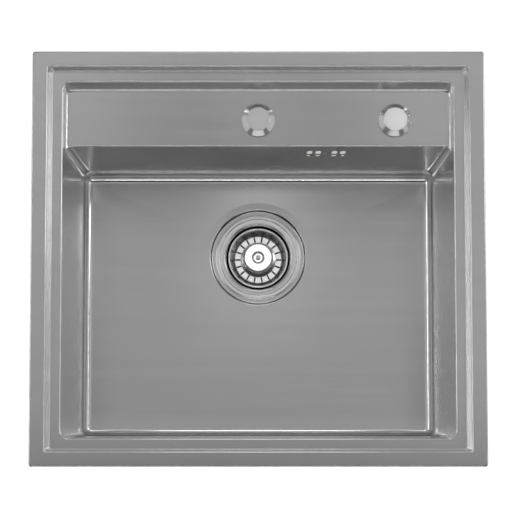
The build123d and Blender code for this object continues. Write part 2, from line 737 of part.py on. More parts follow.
def pipe_joint(prefix, mouth):
    """Cone washer and union nut where the pipe enters a spigot. The plane's Z runs out of the mouth."""
    with BuildPart() as washer:
        with BuildSketch(mouth) as face:
            Circle(spigot_outer)
            Circle(pipe_radius + thread_clearance, mode=Mode.SUBTRACT)
        extrude(face.sketch, amount=pipe_washer_height)
    keep(washer, f"{prefix}_washer")
    nut_start = pipe_nut_wall + pipe_washer_height - pipe_nut_length
    with BuildPart() as nut:
        with BuildSketch(mouth.offset(nut_start)) as body:
            Circle(pipe_nut_radius)
            with PolarLocations(pipe_nut_radius, pipe_nut_ribs):
                Rectangle(pipe_nut_wall, pipe_nut_wall)
        extrude(body.sketch, amount=pipe_nut_length)
        with BuildSketch(mouth.offset(nut_start)) as thread:
            Circle(spigot_outer + thread_clearance)
        extrude(thread.sketch, amount=pipe_nut_length - pipe_nut_wall, mode=Mode.SUBTRACT)
        with BuildSketch(mouth.offset(nut_start)) as bore:
            Circle(pipe_radius + pipe_socket_clearance)
        extrude(bore.sketch, amount=pipe_nut_length, mode=Mode.SUBTRACT)
    keep(nut, f"{prefix}_nut")


pipe_joint("upper_pipe", Plane(origin=(overflow_x, pipe_y, spigot_foot_z), z_dir=(0, 0, -1)))
pipe_joint("lower_pipe", port_plane.offset(port_reach))

# Clamps: a bracket under the ledge, a screw hanging in it and an arm that swings on the screw
bracket_x0 = bowl_length / 2 + sheet
bracket_y0 = opening_back + sheet
bracket_top_z = ledge_z - sheet
bracket_foot_z = bracket_top_z - clamp_bracket_height
clamp_head_z = bracket_foot_z + clamp_sheet + clamp_screw_rise - clamp_screw_length
arm_foot_z = clamp_head_z + clamp_head_gap
arm_tip_z = -worktop_thickness
side_clamps = [(side, y) for side in (1, -1) for y in side_clamp_y]
front_clamps = [(side, x) for side in (1, -1) for x in front_clamp_x]


def clamp_planes():
    """One frame for each clamp: X points out of the sink, and the origin is at the bowl's outer face."""
    planes = []
    for side, y in side_clamps:
        planes.append(Plane(origin=(side * bracket_x0, y, 0), x_dir=(side, 0, 0), z_dir=(0, 0, 1)))
    for side, x in front_clamps:
        planes.append(Plane(origin=(x, side * bracket_y0, 0), x_dir=(0, side, 0), z_dir=(0, 0, 1)))
    return planes


with BuildPart() as bracket:
    with BuildSketch(Plane.XZ):
        with BuildLine():
            Polyline(
                (0, bracket_top_z),
                (clamp_bracket_reach, bracket_top_z),
                (clamp_bracket_reach, bracket_top_z - clamp_sheet),
                (clamp_sheet, bracket_top_z - clamp_sheet),
                (clamp_sheet, bracket_foot_z + clamp_sheet),
                (clamp_bracket_reach, bracket_foot_z + clamp_sheet),
                (clamp_bracket_reach, bracket_foot_z),
                (0, bracket_foot_z),
                close=True,
            )
        make_face()
    extrude(amount=clamp_width / 2, both=True)
    weld_edges = bracket.edges().filter_by(Axis.Y).sort_by(Axis.X)[:2]
    fillet(weld_edges, bend_inside + bend_inside)
    cylinder(clamp_screw_radius + thread_clearance, bracket_foot_z, bracket_foot_z + clamp_sheet,
             (clamp_screw_offset, 0), Mode.SUBTRACT)

with BuildPart() as hanging_screw:
    cylinder(clamp_screw_radius, clamp_head_z, clamp_head_z + clamp_screw_length, (clamp_screw_offset, 0))
    with BuildSketch(Plane.XY.offset(clamp_head_z - clamp_screw_head_height)):
        with Locations((clamp_screw_offset, 0)):
            RegularPolygon(clamp_screw_head_radius, 6)
    extrude(amount=clamp_screw_head_height)

with BuildPart() as arm:
    web_x = clamp_screw_offset + clamp_arm_web
    tip_x = clamp_screw_offset + clamp_arm_reach
    with BuildSketch(Plane.XZ):
        with BuildLine():
            Polyline(*sheet_section([
                (clamp_screw_offset - clamp_arm_heel, arm_foot_z),
                (web_x, arm_foot_z),
                (web_x, arm_tip_z - clamp_arm_sheet),
                (tip_x, arm_tip_z - clamp_arm_sheet),
            ], clamp_arm_sheet), close=True)
        make_face()
    extrude(amount=clamp_arm_width / 2, both=True)
    fillet(arm.edges().filter_by(Axis.Z).group_by(Axis.X)[0], clamp_heel_round)
    fillet(arm.edges().filter_by(Axis.Z).group_by(Axis.X)[-1], clamp_tip_round)
    cylinder(clamp_screw_radius + clamp_arm_clearance, arm_foot_z, arm_foot_z + clamp_arm_sheet,
             (clamp_screw_offset, 0), Mode.SUBTRACT)


def keep_group(piece, name):
    """Write one copy of a piece for every clamp as a single group."""
    copies = Compound(label=name, children=[plane.location * piece.part for plane in clamp_planes()])
    export_step(copies, f"parts/{name}.step")


keep_group(bracket, "clamp_brackets")
keep_group(hanging_screw, "clamp_screws")
for number, plane in enumerate(clamp_planes(), start=1):
    with BuildPart() as clamp_arm:
        add(plane.location * arm.part)
    keep(clamp_arm, f"clamp_arm_{number}")

# Sound-deadening pads on the outside of the bowl
pad_top_z = rim_z - pad_top_drop
pad_foot_z = floor_z + pad_foot_gap
pad_height = pad_top_z - pad_foot_z


def wall_pad(plane, length):
    """A rounded pad that stands on one outer face of the bowl."""
    with BuildSketch(plane) as face:
        RectangleRounded(length, pad_height, pad_corner)
    extrude(face.sketch, amount=pad_thickness)


pad_z = (pad_top_z + pad_foot_z) / 2
side_pad_length = bowl_width - 2 * pad_side_margin
front_pad_length = bowl_length - 2 * pad_side_margin
with BuildPart() as side_pads:
    for side in (1, -1):
        wall_pad(Plane(origin=(side * bracket_x0, bowl_y, pad_z), x_dir=(0, 1, 0), z_dir=(side, 0, 0)),
                 side_pad_length)
keep(side_pads, "side_pads")

with BuildPart() as front_pad:
    wall_pad(Plane(origin=(0, bowl_back - bowl_width - sheet, pad_z), x_dir=(1, 0, 0), z_dir=(0, -1, 0)),
             front_pad_length)
keep(front_pad, "front_pad")

with BuildPart() as floor_pad:
    with BuildSketch(Plane.XY.offset(floor_z - sheet)):
        outline(bowl_length - 2 * floor_pad_margin, bowl_width - 2 * floor_pad_margin, pad_corner, bowl_y)
        with Locations(drain):
            Circle(floor_pad_hole, mode=Mode.SUBTRACT)
    extrude(amount=-pad_thickness)
keep(floor_pad, "floor_pad")
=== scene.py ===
"""Looks of an inset kitchen sink: satin steel body, basket strainer, hole covers and what hangs below.

Metres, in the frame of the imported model: +Z up, +Y to the back, origin in the worktop's top plane.
"""
import math

import bmesh
import bpy
import numpy as np
from bpy.props import FloatProperty, FloatVectorProperty, IntProperty, PointerProperty
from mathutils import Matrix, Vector


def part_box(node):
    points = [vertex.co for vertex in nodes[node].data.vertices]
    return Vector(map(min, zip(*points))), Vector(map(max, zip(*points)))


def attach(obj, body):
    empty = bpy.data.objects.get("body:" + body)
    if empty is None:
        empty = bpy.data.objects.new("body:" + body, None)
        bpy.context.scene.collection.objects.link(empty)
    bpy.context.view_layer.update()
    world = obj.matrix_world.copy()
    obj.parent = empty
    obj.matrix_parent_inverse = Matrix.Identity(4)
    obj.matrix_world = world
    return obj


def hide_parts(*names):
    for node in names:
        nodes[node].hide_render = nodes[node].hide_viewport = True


bl_info = {
    "name": "Inset Kitchen Sink",
    "version": (1, 0, 0),
    "blender": (4, 5, 0),
    "location": "View3D > Sidebar > Sink",
    "description": "Builds the visible surfaces and finishes of an inset kitchen sink",
    "category": "Add Mesh",
}

MM = 0.001
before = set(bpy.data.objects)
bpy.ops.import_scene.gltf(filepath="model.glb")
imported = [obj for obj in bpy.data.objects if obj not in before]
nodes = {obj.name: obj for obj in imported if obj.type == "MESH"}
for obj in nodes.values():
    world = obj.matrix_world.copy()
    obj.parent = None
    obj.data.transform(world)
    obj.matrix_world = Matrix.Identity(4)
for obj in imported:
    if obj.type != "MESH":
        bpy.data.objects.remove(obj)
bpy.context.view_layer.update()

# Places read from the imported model
deck_low, deck_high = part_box("deck_frame")
bowl_low, bowl_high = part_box("bowl")
shelf_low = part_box("tap_shelf")[0]
cup_low, cup_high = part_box("strainer_cup")
basket_low, basket_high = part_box("basket")
knob_low, knob_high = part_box("basket_knob")
cover_boxes = {name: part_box(name) for name in ("tap_hole_cover", "side_hole_cover")}
outlet_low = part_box("waste_body")[0]

# Sizes of the pressed steel
SHEET = 1.2 * MM
RIM_Z = deck_high.z
RIM_CORNER = 4 * MM
RIM_FLAT = 18.75 * MM
RISER_RUN = (4.2 * MM, 2.1 * MM)
RISER_CORNER = 3 * MM
LEDGE_DROP = 12 * MM
SKIRT_Z = deck_low.z
LEDGE_Z = RIM_Z - LEDGE_DROP
LIP_GAP = 0.6 * MM
BEND = 2 * MM
BOWL_CORNER = 11 * MM
BOWL_FILLET = 10 * MM
LEAST_CORNER = 0.8 * MM
BOWL_LENGTH = bowl_high.x - bowl_low.x - 2 * SHEET
OPENING_DEPTH = 431.8 * MM
RECESS_DROP = 3.4 * MM
FLOOR_Z = bowl_low.z + SHEET + RECESS_DROP
BOWL_BACK = bowl_high.y - SHEET
BOWL_FRONT = bowl_low.y + SHEET
DRAIN = ((cup_low.x + cup_high.x) / 2, (cup_low.y + cup_high.y) / 2)
RECESS_RADIUS = 66.5 * MM
RECESS_FLAT = 62.5 * MM
RECESS_BEND = 1.6 * MM
DRAIN_HOLE = 45.6 * MM
# Where the floor's rings lie between its edge and the recess
FLOOR_SHARES = (0.02, 0.5, 0.97)
SHELF_FLANGE_Z = shelf_low.z
SHELF_JOINT_Y = shelf_low.y
# Overflow slots: middle of the row and each slot's offset from it, in mm
SLOTS_MIDDLE = 84.9
SLOT_X = [(SLOTS_MIDDLE + offset) * MM for offset in (-20.7, -9.9, 10.3, 20.8)]
SLOT_Z = RIM_Z - 62.5 * MM
SLOT_SIZE = (6.6 * MM, 27 * MM)
# Narrower faces that aren't level lie across a bend or an edge
BEND_FACE = 2.3 * MM
# Edges that turn by more degrees than this stay sharp
SHARP = 32
# Points nearer than this are merged, and faces thinner than this are dropped
MERGED = 0.002 * MM
COLLAPSED = 0.001 * MM

# Sizes of the strainer and the covers
CUP_SHEET = 1.0 * MM
CUP_HOLES = 8
CUP_HOLE_CIRCLE = 15 * MM
CUP_HOLE_RADIUS = 3.6 * MM
BASKET_SHEET = 0.8 * MM
BASKET_SLOTS = 18
BASKET_SLOT_ENDS = (25.75 * MM, 30.85 * MM)
BASKET_SLOT_RADIUS = 1.15 * MM
KNOB_RADIUS = 20.8 * MM
KNOB_BORE = 1.9 * MM
SCREW_HEAD = (3.6 * MM, 1.4 * MM)
SCREW_SPANS = 48
COVER_RADIUS = 20.3 * MM
COVER_FACE = 14.3 * MM

# The studio's greys by the sine of the height above the horizon
STUDIO_GREYS = ((0.0, 0.55), (0.12, 0.2), (0.6, 0.15), (0.87, 0.03))
# The floor is white round the sink and pale grey further off: distances and the far grey
FLOOR_FADE = (0.62, 1.3)
FLOOR_FAR = 0.42
FLOOR_HALF = 12
FLOOR_DEPTH = 0.05
FLOOR_GAP = 0.5 * MM
VIEW_END = 50

# Widths and heights of lamps, and the point that most of them face
STRIP = (1.6, 0.12)
PANEL = (0.8, 0.8)
SIDE_PANEL = (3.0, 1.0)
MIDDLE = (0, 0, 0)

# Lamps: name, place, point aimed at, width and height, watts
RIG = (
    ("left_mid", (-1.556, 0, 1.556), MIDDLE, STRIP, 3.89),
    ("right_mid", (1.556, 0, 1.556), MIDDLE, STRIP, 2.20),
    ("back_high", (0, 1.1, 1.905), MIDDLE, STRIP, 0.49),
    ("over_left", (-0.8, 0, 2), (-0.8, 0, 0), PANEL, 0.76),
    ("over_left_back", (-0.8, 0.8, 2), (-0.8, 0.8, 0), PANEL, 0.88),
    ("over_middle", (0, 0, 2), MIDDLE, PANEL, 0.72),
    ("over_middle_back", (0, 0.8, 2), (0, 0.8, 0), PANEL, 0.41),
    ("over_right", (0.8, 0, 2), (0.8, 0, 0), PANEL, 0.83),
    ("over_right_back", (0.8, 0.8, 2), (0.8, 0.8, 0), PANEL, 0.69),
    ("over_back_right", (1.6, 0.8, 2), (1.6, 0.8, 0), PANEL, 4.11),
    ("over_far_back", (0, 1.6, 2), (0, 1.6, 0), PANEL, 2.82),
    ("front_mid", (0, -1.556, 1.556), MIDDLE, STRIP, 2.80),
    ("low_left", (-2.05, 0.15, 0.8), MIDDLE, SIDE_PANEL, 3.00),
    ("low_right", (2.05, 0.15, 0.8), MIDDLE, SIDE_PANEL, 3.00),
    ("low_back", (0, 2.05, 0.8), MIDDLE, SIDE_PANEL, 2.80),
    ("low_front", (0, -1.9, 1.12), MIDDLE, (2.4, 0.3), 1.30),
)

# Small lamps that a level face shows to the camera: name, node, side, watts
GLINTS = (
    ("glint_waste", "basket_knob", 0.17, 0.1),
    ("glint_tap_hole", "tap_hole_cover", 0.13, 0.018),
    ("glint_side_hole", "side_hole_cover", 0.13, 0.03),
)
GLINT_HEIGHT = 1.95


class SinkFinish(bpy.types.PropertyGroup):
    """Colours and gloss of the sink's materials."""

    steel: FloatVectorProperty(
        name="Steel", description="Tint of the satin steel", subtype="COLOR",
        default=(0.74, 0.74, 0.74),
    )
    steel_roughness: FloatProperty(
        name="Satin", description="Roughness of the satin steel", default=0.24, min=0.05, max=0.9
    )
    chrome: FloatVectorProperty(
        name="Chrome", description="Tint of the bright parts", subtype="COLOR",
        default=(0.86, 0.86, 0.87),
    )
    plastic: FloatVectorProperty(
        name="Waste plastic", description="Colour of the moulded waste", subtype="COLOR",
        default=(0.02, 0.02, 0.022),
    )
    housing: FloatVectorProperty(
        name="Housing plastic", description="Colour of the overflow housing", subtype="COLOR",
        default=(0.8, 0.8, 0.78),
    )


class SinkDetail(bpy.types.PropertyGroup):
    """How finely the surfaces are divided, and small visible sizes."""

    side_spans: IntProperty(
        name="Side spans", description="Spans along each side of the bowl", default=40, min=4
    )
    corner_spans: IntProperty(
        name="Corner spans", description="Spans round each corner", default=10, min=3
    )
    turn_spans: IntProperty(
        name="Turn spans", description="Spans round a turned piece", default=144, min=24
    )
    bend_spans: IntProperty(
        name="Bend spans", description="Spans across a bend of the sheet", default=8, min=2
    )
    floor_fall: FloatProperty(
        name="Floor fall", description="Fall of the bowl's floor to the waste", subtype="DISTANCE",
        default=0.0012,
    )


class SinkStage(bpy.types.PropertyGroup):
    """Camera and light."""

    eye_height: FloatProperty(
        name="Eye height", description="Camera above the rim", subtype="DISTANCE", default=1.341
    )
    eye_x: FloatProperty(
        name="Eye X", description="Camera across the sink", subtype="DISTANCE", default=-0.00155
    )
    eye_y: FloatProperty(
        name="Eye Y", description="Camera along the sink", subtype="DISTANCE", default=-0.1902
    )
    lens: FloatProperty(
        name="Lens", description="Focal length in mm on a 36 mm sensor", default=78.73
    )
    lean: FloatProperty(
        name="Lean", description="Tilt of the camera towards the back", subtype="ANGLE",
        default=math.radians(3),
    )
    rise: FloatProperty(
        name="Rise", description="Upward shift of the lens, as a share of the frame", default=0.1913
    )
    slide: FloatProperty(name="Slide", description="Sideways shift of the lens", default=0.0029)


def settings():
    """The three groups of settings."""
    scene = bpy.context.scene
    return scene.sink_finish, scene.sink_detail, scene.sink_stage


# Shader maths

# Sockets of the Mix node: its factor, two numbers, two colours, and the output for a colour
MIX_FACTOR, NUMBER_A, NUMBER_B, COLOUR_A, COLOUR_B, COLOUR_OUT = 0, 2, 3, 6, 7, 2
# The Attribute node's output for a number
ATTRIBUTE_NUMBER = 2


class Signal:
    """A number socket that can be added, multiplied and so on like a number."""

    def __init__(self, finish, socket):
        self.finish = finish
        self.socket = socket

    def _maths(self, operation, first, second=None):
        values = {0: first}
        if second is not None:
            values[1] = second
        return self.finish.node("ShaderNodeMath", {"operation": operation}, values)

    def __add__(self, other):
        return self._maths("ADD", self, other)

    __radd__ = __add__

    def __sub__(self, other):
        return self._maths("SUBTRACT", self, other)

    def __rsub__(self, other):
        return self._maths("SUBTRACT", other, self)

    def __mul__(self, other):
        return self._maths("MULTIPLY", self, other)

    __rmul__ = __mul__

    def __pow__(self, other):
        return self._maths("POWER", self, other)

    def __gt__(self, other):
        return self._maths("GREATER_THAN", self, other)

    def __lt__(self, other):
        return self._maths("LESS_THAN", self, other)

    def absolute(self):
        """The number without its sign."""
        return self._maths("ABSOLUTE", self)


class Finish:
    """A material under construction."""

    def __init__(self, name, colour, metallic=0.0, roughness=0.5):
        self.material = bpy.data.materials.new(name)
        self.material.use_nodes = True
        self.tree = self.material.node_tree
        self.tree.nodes.clear()
        self.shader = self.tree.nodes.new("ShaderNodeBsdfPrincipled")
        self.shader.inputs["Base Color"].default_value = (*colour, 1)
        self.shader.inputs["Metallic"].default_value = metallic
        self.shader.inputs["Roughness"].default_value = roughness
        out = self.tree.nodes.new("ShaderNodeOutputMaterial")
        self.tree.links.new(self.shader.outputs[0], out.inputs[0])
        self.place = self.tree.nodes.new("ShaderNodeTexCoord")

    def node(self, kind, choices=None, values=None, output=0):
        """Add a node: its settings first, then its sockets' values or links."""
        made = self.tree.nodes.new(kind)
        for key, choice in (choices or {}).items():
            setattr(made, key, choice)
        for key, value in (values or {}).items():
            if isinstance(value, Signal):
                self.tree.links.new(value.socket, made.inputs[key])
            else:
                made.inputs[key].default_value = value
        return Signal(self, made.outputs[output])

    def axis(self, name):
        """One of the object's own coordinates, in metres."""
        place = Signal(self, self.place.outputs["Object"])
        return self.node("ShaderNodeSeparateXYZ", None, {0: place}, output="XYZ".index(name))

    def facing(self, name):
        """How far the surface faces along one of the object's axes."""
        normal = Signal(self, self.place.outputs["Normal"])
        return self.node("ShaderNodeSeparateXYZ", None, {0: normal}, output="XYZ".index(name))

    def noise(self, scale, detail=3.0, rough=0.6, stretch=(1, 1, 1)):
        """Noise on object coordinates, from 0 to 1, stretched along the axes."""
        place = Signal(self, self.place.outputs["Object"])
        mapped = self.node("ShaderNodeMapping", None, {"Vector": place, "Scale": stretch})
        values = {"Vector": mapped, "Scale": scale, "Detail": detail, "Roughness": rough}
        return self.node("ShaderNodeTexNoise", None, values)

    def blend(self, factor, first, second):
        """Mix two colours."""
        ends = [end if isinstance(end, Signal) else (*end, 1) for end in (first, second)]
        values = {MIX_FACTOR: factor, COLOUR_A: ends[0], COLOUR_B: ends[1]}
        return self.node("ShaderNodeMix", {"data_type": "RGBA"}, values, output=COLOUR_OUT)

    def colour(self, signal):
        """Let a signal set the colour."""
        self.tree.links.new(signal.socket, self.shader.inputs["Base Color"])

    def rough(self, signal):
        """Let a signal set the roughness."""
        self.tree.links.new(signal.socket, self.shader.inputs["Roughness"])

    def relief(self, signal, height, strength=1.0):
        """Raise the surface by a signal, up to a height in metres."""
        values = {"Height": signal, "Distance": height, "Strength": strength}
        bump = self.node("ShaderNodeBump", None, values)
        self.tree.links.new(bump.socket, self.shader.inputs["Normal"])


def tinted(colour, factor):
    """A colour made lighter or darker."""
    return tuple(min(1.0, channel * factor) for channel in colour)


made_finishes = {}


def finish_of(name):
    """Make each finish once, and return its material."""
    if name not in made_finishes:
        made_finishes[name] = FINISHES[name]()
    return made_finishes[name]


def satin_steel():
    """Sheet with a fine straight grain, along X on level faces and along the wall on upright ones.

    Bends and sheet edges, marked by an attribute, are smoother than the flats, and their colour is
    lighter as a painted highlight.
    """
    look = settings()[0]
    finish = Finish("satin_steel", look.steel, 1.0, look.steel_roughness)
    along_x = finish.noise(900, 2, 0.5, (0.012, 1, 1))
    along_y = finish.noise(900, 2, 0.5, (1, 0.012, 1))
    sideways = finish.facing("X").absolute() > 0.6
    values = {MIX_FACTOR: sideways, NUMBER_A: along_x, NUMBER_B: along_y}
    grain = finish.node("ShaderNodeMix", None, values)
    bands = finish.noise(60, 3, 0.6, (0.05, 1, 1))
    cloud = finish.noise(9, 4, 0.55)
    polish_and_sheen = finish.node("ShaderNodeAttribute", {"attribute_name": "polish_and_sheen"}, output=ATTRIBUTE_NUMBER)
    flat_share = 1 - polish_and_sheen
    unevenness = (0.015 * grain + 0.025 * cloud - 0.02) * flat_share
    finish.rough(look.steel_roughness + unevenness - 0.12 * polish_and_sheen)
    streaks = 0.2 * grain + 0.45 * bands + 0.35 * cloud
    flat = finish.blend(streaks, tinted(look.steel, 0.88), tinted(look.steel, 1.12))
    # Painted highlight: the bends' colour is lighter than the flats'.
    finish.colour(finish.blend(polish_and_sheen, flat, tinted(look.steel, 1.28)))
    finish.relief(grain * flat_share, 0.004 * MM, 0.15)
    return finish.material


def polished_steel():
    """Spun steel with rings round the waste's axis, painted dark below the basket as shade."""
    look = settings()[0]
    finish = Finish("polished_steel", tinted(look.steel, 1.2), 1.0, 0.16)
    across = finish.axis("X") - DRAIN[0]
    along = finish.axis("Y") - DRAIN[1]
    radius = (across ** 2 + along ** 2) ** 0.5
    values = {"W": radius, "Scale": 2200, "Detail": 2}
    rings = finish.node("ShaderNodeTexNoise", {"noise_dimensions": "1D"}, values)
    cloud = finish.noise(40, 3, 0.6)
    finish.rough(0.1 + 0.07 * rings + 0.06 * cloud)
    # Painted shade: below the basket's floor the steel is made nearly black, so the slots look dark.
    painted_shade_below = finish.axis("Z") < basket_low.z
    finish.colour(finish.blend(painted_shade_below, tinted(look.steel, 1.2), tinted(look.steel, 0.15)))
    finish.relief(rings, 0.01 * MM, 0.4)
    return finish.material


def basket_steel():
    """Bright strainer basket, whose steep wall is finely hammered."""
    look = settings()[0]
    finish = Finish("basket_steel", tinted(look.steel, 1.2), 1.0, 0.14)
    pits = finish.noise(700, 2, 0.6)
    wall = finish.facing("Z").absolute() < 0.93
    finish.rough(0.12 + 0.06 * pits + 0.1 * wall)
    finish.relief(pits * wall, 0.25 * MM, 0.8)
    return finish.material


def chrome():
    """Bright plate with faint handling marks."""
    look = settings()[0]
    finish = Finish("chrome", look.chrome, 1.0, 0.06)
    marks = finish.noise(70, 4, 0.65)
    finish.rough(0.03 + 0.06 * marks)
    finish.colour(finish.blend(marks, tinted(look.chrome, 0.97), look.chrome))
    return finish.material


def brushed_cap():
    """Bright plate with a straight grain on the level face of a cover."""
    look = settings()[0]
    finish = Finish("brushed_cap", look.chrome, 1.0, 0.2)
    grain = finish.noise(1500, 2, 0.5, (0.02, 1, 1))
    face = finish.facing("Z") > 0.95
    finish.rough(0.14 + face * (0.05 * grain - 0.06))
    finish.relief(grain * face, 0.01 * MM, 0.5)
    return finish.material


def black_rubber():
    """Matt rubber with a fine speckle."""
    finish = Finish("black_rubber", (0.02, 0.02, 0.02), 0.0, 0.6)
    speckle = finish.noise(1200, 3, 0.6)
    finish.rough(0.5 + 0.2 * speckle)
    finish.colour(finish.blend(speckle, (0.015, 0.015, 0.015), (0.035, 0.035, 0.036)))
    finish.relief(speckle, 0.04 * MM, 0.4)
    return finish.material


def moulded(name, colour, glow=0.0):
    """Moulded plastic with a fine spark-eroded grain and slight flow marks.

    A pale one glows a little: painted light, standing in for the light that comes through it.
    """
    finish = Finish(name, colour, 0.0, 0.42)
    grain = finish.noise(1600, 3, 0.6)
    flow = finish.noise(30, 3, 0.5, (1, 1, 0.3))
    finish.rough(0.32 + 0.12 * grain + 0.1 * flow)
    finish.colour(finish.blend(flow, tinted(colour, 0.88), tinted(colour, 1.1)))
    finish.relief(grain, 0.03 * MM, 0.35)
    # Emission for a pale plastic: painted light.
    finish.shader.inputs["Emission Color"].default_value = (*colour, 1)
    finish.shader.inputs["Emission Strength"].default_value = glow
    return finish.material


def zinc_plated():
    """Bright zinc plate with its cloudy, faintly blue cast."""
    finish = Finish("zinc_plated_steel", (0.62, 0.64, 0.67), 1.0, 0.3)
    cloud = finish.noise(120, 4, 0.6)
    finish.rough(0.22 + 0.2 * cloud)
    finish.colour(finish.blend(cloud, (0.56, 0.58, 0.62), (0.7, 0.71, 0.72)))
    return finish.material


def seal_foam():
    """Dark foam with small open cells."""
    finish = Finish("seal_foam", (0.06, 0.06, 0.06), 0.0, 0.85)
    cells = finish.noise(2500, 2, 0.5)
    finish.colour(finish.blend(cells, (0.035, 0.035, 0.035), (0.09, 0.09, 0.09)))
    finish.relief(cells, 0.15 * MM, 0.6)
    return finish.material


def sound_pad():
    """Bitumen pad with a pressed, slightly uneven face."""
    finish = Finish("sound_pad", (0.1, 0.1, 0.105), 0.0, 0.75)
    press = finish.noise(350, 4, 0.65)
    waves = finish.noise(22, 3, 0.5)
    finish.rough(0.6 + 0.25 * press)
    finish.colour(finish.blend(0.6 * press + 0.4 * waves, (0.07, 0.07, 0.074), (0.15, 0.15, 0.155)))
    finish.relief(press + waves, 0.2 * MM, 0.5)
    return finish.material


def brass():
    """Turned brass with faint marks."""
    finish = Finish("brass", (0.75, 0.56, 0.27), 1.0, 0.3)
    marks = finish.noise(300, 3, 0.6)
    finish.rough(0.2 + 0.2 * marks)
    return finish.material


FINISHES = {
    "satin_steel": satin_steel,
    "polished_steel": polished_steel,
    "basket_steel": basket_steel,
    "chrome": chrome,
    "brushed_cap": brushed_cap,
    "black_rubber": black_rubber,
    "black_plastic": lambda: moulded("black_plastic", settings()[0].plastic),
    "pale_plastic": lambda: moulded("pale_plastic", settings()[0].housing, 0.3),
    "zinc_plated_steel": zinc_plated,
    "seal_foam": seal_foam,
    "sound_pad": sound_pad,
    "brass": brass,
}


# Surfaces as arrays of points


def arc(centre, radius, start, end, spans):
    """Points on a circle between two angles in degrees: centre plus radius times cosine and sine."""
    turn = np.radians(np.linspace(start, end, spans + 1))
    return np.stack([centre[0] + radius * np.cos(turn), centre[1] + radius * np.sin(turn)], axis=1)


def even_turns(count):
    """Angles in radians, spread evenly round a full turn."""
    return np.arange(count) * 2 * math.pi / count


def outline(half_x, half_y, corner, height, centre_y=0.0):
    """A rounded rectangle as a ring of points.

    Each corner is a quarter circle about its own centre, and each side is divided evenly. The height
    may be a pair, for the sides that face X and those that face Y, mixed by the normal's squares.
    """
    detail = settings()[1]
    quarter = np.linspace(0, np.pi / 2, detail.corner_spans + 1)
    angles = np.concatenate([quarter + turn * np.pi / 2 for turn in range(4)])
    signs = np.repeat(np.array([[1, 1], [-1, 1], [-1, -1], [1, -1]]), len(quarter), axis=0)
    centres = signs * np.array([half_x - corner, half_y - corner])
    normals = np.stack([np.cos(angles), np.sin(angles)], axis=1)
    points = centres + corner * normals
    step = np.linspace(0, 1, detail.side_spans + 1)[1:-1]
    pieces = []
    for turn in range(4):
        last = (turn + 1) * len(quarter) - 1
        following = (last + 1) % len(points)
        bend = slice(turn * len(quarter), last + 1)
        pieces.append(np.c_[points[bend], normals[bend]])
        side = points[last] + step[:, None] * (points[following] - points[last])
        pieces.append(np.c_[side, np.repeat(normals[last:last + 1], len(step), axis=0)])
    ring = np.concatenate(pieces)
    high_x, high_y = height if isinstance(height, tuple) else (height, height)
    levels = high_x * ring[:, 2] ** 2 + high_y * ring[:, 3] ** 2
    return np.c_[ring[:, 0], ring[:, 1] + centre_y, levels]


def circle_towards(ring, centre, radius, height):
    """The ring's points drawn in to a circle: each goes straight towards the centre."""
    reach = ring[:, :2] - np.array(centre)
    spread = reach / np.linalg.norm(reach, axis=1)[:, None]
    flat = np.array(centre) + radius * spread
    return np.c_[flat, np.full(len(ring), height)]


def spun(profile, centre, spans):
    """Turn a profile of radius and height about an upright axis into rings of points."""
    profile = np.asarray(profile, float)
    turn = even_turns(spans)
    x = centre[0] + profile[:, :1] * np.cos(turn)
    y = centre[1] + profile[:, :1] * np.sin(turn)
    z = np.repeat(profile[:, 1:], spans, axis=1)
    return np.stack([x, y, z], axis=2)


def skin(name, rings, close_profile=True):
    """A mesh through rings of points, closed round each ring, and from the last ring to the first."""
    rings = np.asarray(rings, float)
    rows, columns = rings.shape[:2]
    index = np.arange(rows * columns).reshape(rows, columns)
    if close_profile:
        index = np.vstack([index, index[:1]])
    right = np.roll(index, -1, axis=1)
    quads = np.stack([index[:-1], right[:-1], right[1:], index[1:]], axis=-1).reshape(-1, 4)
    mesh = bpy.data.meshes.new(name)
    mesh.from_pydata(rings.reshape(-1, 3), [], quads)
    return tidy(mesh, name)


def tidy(mesh, name):
    """Merge doubles, drop collapsed faces, point the faces outwards and make an object."""
    work = bmesh.new()
    work.from_mesh(mesh)
    bmesh.ops.remove_doubles(work, verts=work.verts, dist=MERGED)
    bmesh.ops.dissolve_degenerate(work, dist=COLLAPSED, edges=work.edges)
    bmesh.ops.recalc_face_normals(work, faces=work.faces)
    work.to_mesh(mesh)
    work.free()
    piece = bpy.data.objects.new(name, mesh)
    bpy.context.scene.collection.objects.link(piece)
    return piece


def flesh(profile, thickness):
    """A closed section from an open line: the line, and its copy set off by the sheet's thickness."""
    line = np.asarray(profile, float)
    step = np.diff(line, axis=0)
    normal = np.stack([-step[:, 1], step[:, 0]], axis=1) / np.linalg.norm(step, axis=1)[:, None]
    before = np.vstack([normal[:1], normal])
    after = np.vstack([normal, normal[-1:]])
    mitre = thickness / (1 + np.sum(before * after, axis=1))
    return np.vstack([line, (line + (before + after) * mitre[:, None])[::-1]])


def rounded_line(points, radii, spans=6):
    """A line through corner points with each inner corner rounded by a tangent arc."""
    points = [np.array(point, float) for point in points]
    made = [points[0]]
    for before, here, after, size in zip(points, points[1:], points[2:], radii):
        inward = (before - here) / np.linalg.norm(before - here)
        outward = (after - here) / np.linalg.norm(after - here)
        half = math.acos(max(-1.0, min(1.0, float(inward @ outward)))) / 2
        reach = size / math.tan(half)
        middle = (inward + outward) / np.linalg.norm(inward + outward)
        centre = here + middle * size / math.sin(half)
        start, end = here + inward * reach - centre, here + outward * reach - centre
        sweep = math.atan2(start[0] * end[1] - start[1] * end[0], float(start @ end))
        first = math.atan2(start[1], start[0])
        turn = first + np.linspace(0, sweep, spans + 1)
        made += list(centre + size * np.stack([np.cos(turn), np.sin(turn)], axis=1))
    made.append(points[-1])
    return np.array(made)


